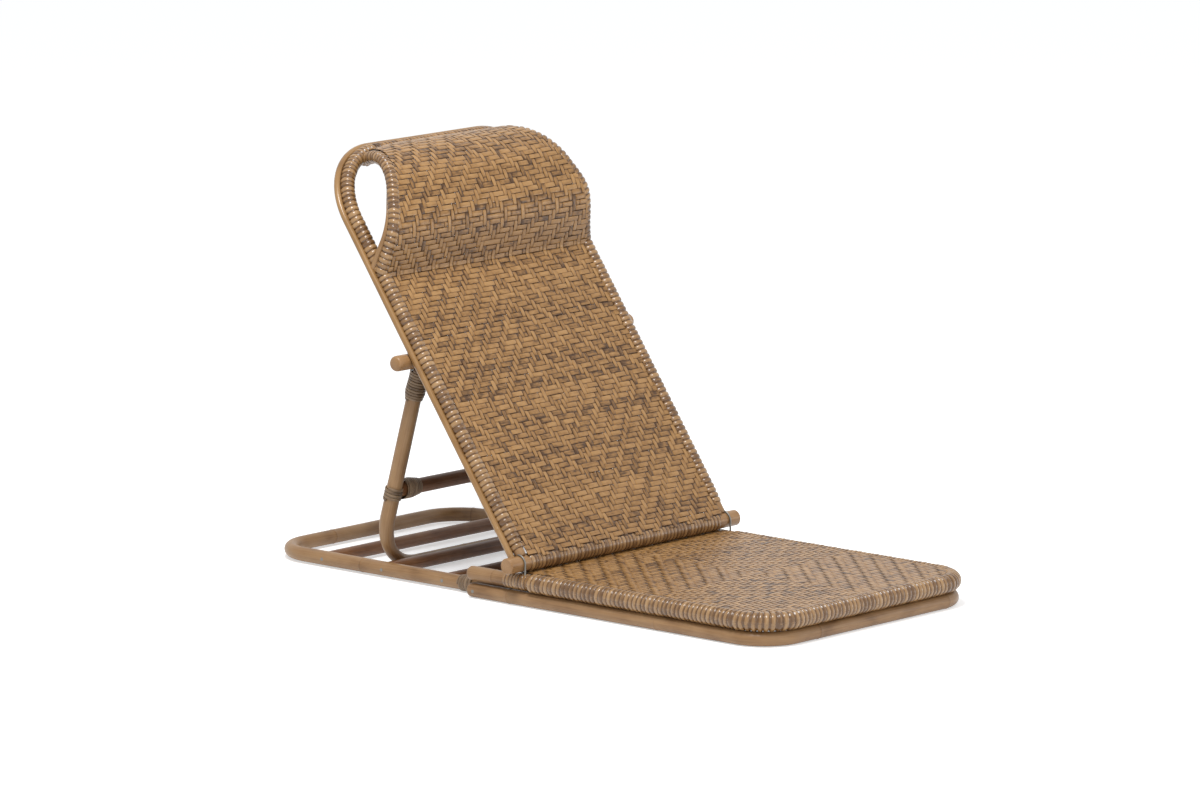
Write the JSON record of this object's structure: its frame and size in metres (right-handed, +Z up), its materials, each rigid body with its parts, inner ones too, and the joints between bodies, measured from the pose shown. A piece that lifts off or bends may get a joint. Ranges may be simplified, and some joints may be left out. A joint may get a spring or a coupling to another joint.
{
  "type": "folding beach lounger",
  "caption": "Low folding beach lounger of bent cane poles with a woven floor-level seat, a propped reclining woven back and a hollow head roll.",
  "frame": {"origin": "on the floor, at the centre of the part's plan as it stands open", "axes": "+X across the seat, to the sitter's left; +Y from the feet towards the back of the lounger; +Z up"},
  "size_m": [0.5122, 1.0334, 0.6374],
  "materials": {
    "cane_pole": "satin",
    "cane_dark": "satin",
    "cane_skin": "gloss",
    "woven_peel": "satin",
    "split_cane": "satin",
    "lashing": "satin",
    "steel": "satin"
  },
  "bodies": {
    "base": {"rear_loop": "cane_pole", "front_loop": "cane_pole", "seat_frame": "cane_pole", "rest_bar_front": "cane_dark", "rest_bar_middle": "cane_dark", "rest_bar_rear": "cane_dark", "seat_rear_bar": "cane_pole", "seat_weave": "woven_peel", "seat_edge_wrap": "woven_peel", "rail_lashing_left": "lashing", "rail_lashing_right": "lashing", "frame_nails": "steel", "hinge_wire_left": "steel", "hinge_wire_right": "steel"},
    "backrest": {"hinge_bar": "cane_skin", "back_frame": "cane_pole", "back_edge_wrap": "woven_peel", "edge_strip": "split_cane", "back_weave": "woven_peel", "prop_bar": "cane_skin", "crease_bar": "cane_pole", "head_bow_left": "cane_pole", "head_bow_right": "cane_pole", "head_wrap_left": "woven_peel", "head_wrap_right": "woven_peel", "head_weave": "woven_peel"},
    "prop": {"prop_frame": "cane_pole", "prop_stretcher": "cane_dark", "stretcher_lashing_left": "lashing", "stretcher_lashing_right": "lashing", "stretcher_collar_left": "lashing", "stretcher_collar_right": "lashing", "prop_strap_left": "split_cane", "prop_strap_right": "split_cane", "prop_lashing_left": "lashing", "prop_lashing_right": "lashing"}
  },
  "joints": [
    {"name": "backrest_fold", "type": "hinge", "parent": "base", "child": "backrest", "pos_m": [0, -0.02175, 0.0624], "axis": [1, 0, 0], "range_deg": [0, 118]},
    {"name": "prop_swing", "type": "hinge", "parent": "backrest", "child": "prop", "pos_m": [0, 0.19683, 0.33951], "axis": [1, 0, 0], "range_deg": [-50.01, 0]}
  ],
  "couplings": [
    {"joint": "prop_swing", "follows": "backrest_fold", "ratio": -0.42373}
  ]
}
